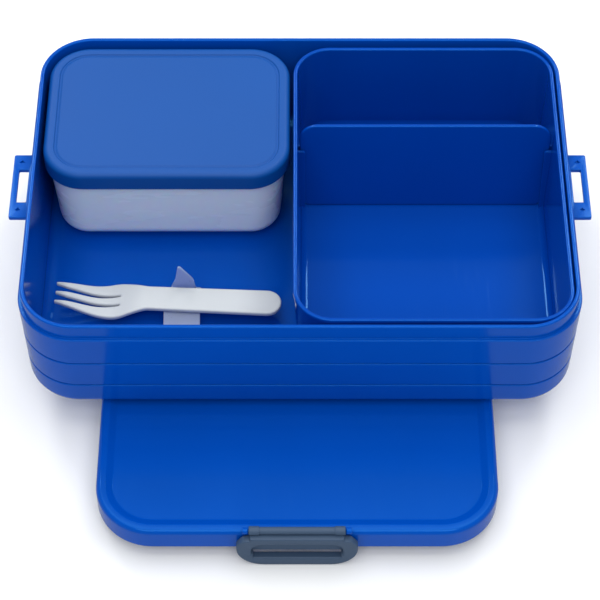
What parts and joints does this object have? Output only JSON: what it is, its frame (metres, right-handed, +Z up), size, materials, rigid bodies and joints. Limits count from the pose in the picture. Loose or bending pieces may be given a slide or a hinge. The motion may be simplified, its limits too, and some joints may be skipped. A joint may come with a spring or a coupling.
{
  "type": "bento lunch box",
  "caption": "Flat rectangular lunch box with a clip-on lid, a divided insert, a small lidded box and a fork, shown opened.",
  "frame": {"origin": "on the surface the object stands on, under the middle of its bounding box, which is the middle of the lid's length and of the outer box's width", "axes": "+X along the outer box's long side, to the right; +Y towards its back, along the lid's length; +Z up"},
  "size_m": [0.2526, 0.2458, 0.074],
  "materials": {
    "gloss_blue": "polished moulded plastic",
    "insert_blue": "polished moulded plastic",
    "satin_blue": "soft satin plastic",
    "clip_slate": "satin tough plastic",
    "milk_white": "milky translucent plastic",
    "fork_white": "satin plastic",
    "seal_grey": "soft silicone",
    "clear_frost": "frosted clear plastic"
  },
  "bodies": {
    "lid": {"lid": "gloss_blue", "lid_seal": "seal_grey"},
    "clip_front": {"clip_front": "clip_slate"},
    "clip_rear": {"clip_rear": "clip_slate"},
    "outer_box": {"box_base": "gloss_blue", "fork_cradle": "clear_frost"},
    "insert": {"bento_insert": "insert_blue"},
    "divider": {"insert_divider": "insert_blue"},
    "small_box": {"small_box": "milk_white"},
    "small_box_lid": {"small_box_lid": "satin_blue"},
    "fork": {"fork": "fork_white"}
  },
  "joints": [
    {"name": "clip_front_hinge", "type": "hinge", "parent": "lid", "child": "clip_front", "pos_m": [-0.0012, -0.1191, 0.0212], "axis": [-1, 0, 0], "range_deg": [0, 150]},
    {"name": "clip_rear_hinge", "type": "hinge", "parent": "lid", "child": "clip_rear", "pos_m": [-0.0012, 0.1191, 0.0212], "axis": [1, 0, 0], "range_deg": [0, 150]},
    {"name": "base_lift", "type": "slide", "parent": "lid", "child": "outer_box", "axis": [0, 0, 1], "range_m": [0, 0.1]},
    {"name": "insert_lift", "type": "slide", "parent": "outer_box", "child": "insert", "axis": [0, 0, 1], "range_m": [0, 0.06]},
    {"name": "divider_lift", "type": "slide", "parent": "insert", "child": "divider", "axis": [0, 0.1132, 0.9936], "range_m": [0, 0.05]},
    {"name": "small_box_lift", "type": "slide", "parent": "outer_box", "child": "small_box", "axis": [0, 0, 1], "range_m": [0, 0.06]},
    {"name": "small_lid_lift", "type": "slide", "parent": "small_box", "child": "small_box_lid", "axis": [0, 0, 1], "range_m": [0, 0.03]},
    {"name": "fork_lift", "type": "slide", "parent": "outer_box", "child": "fork", "axis": [0, 0, 1], "range_m": [0, 0.06]}
  ]
}
